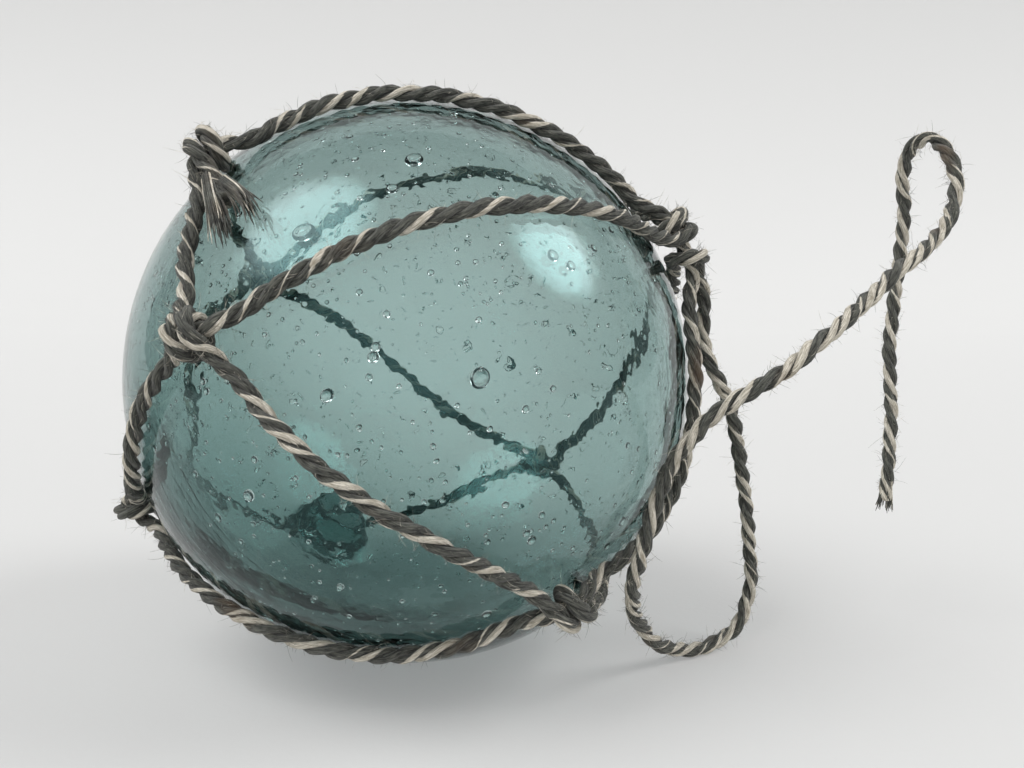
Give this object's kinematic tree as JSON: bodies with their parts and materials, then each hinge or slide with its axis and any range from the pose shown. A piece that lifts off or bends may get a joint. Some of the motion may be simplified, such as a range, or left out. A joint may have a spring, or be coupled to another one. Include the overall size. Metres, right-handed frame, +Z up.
{
  "type": "glass float ball",
  "caption": "Round net float of clear teal glass with a sealed blowing hole, held in a net knotted from one dark and pale twine whose springy loose end rises beside it",
  "frame": {"origin": "Middle of the small flat spot that the ball rests on, on the surface below it", "axes": "+Z up, +X to the right seen from the front, -Y towards the side that shows; the loose end stands on the +X side"},
  "size_m": [0.1343, 0.0936, 0.0906],
  "materials": {
    "teal_glass": "clear light teal blown glass, full of small bubbles",
    "tarred_twine": "three-strand laid twine of dark tarred yarns with a few pale ones, fuzzy"
  },
  "bodies": {
    "root": {"glass_ball": "teal_glass", "twine_net": "tarred_twine", "loose_tail": "tarred_twine"}
  },
  "joints": []
}
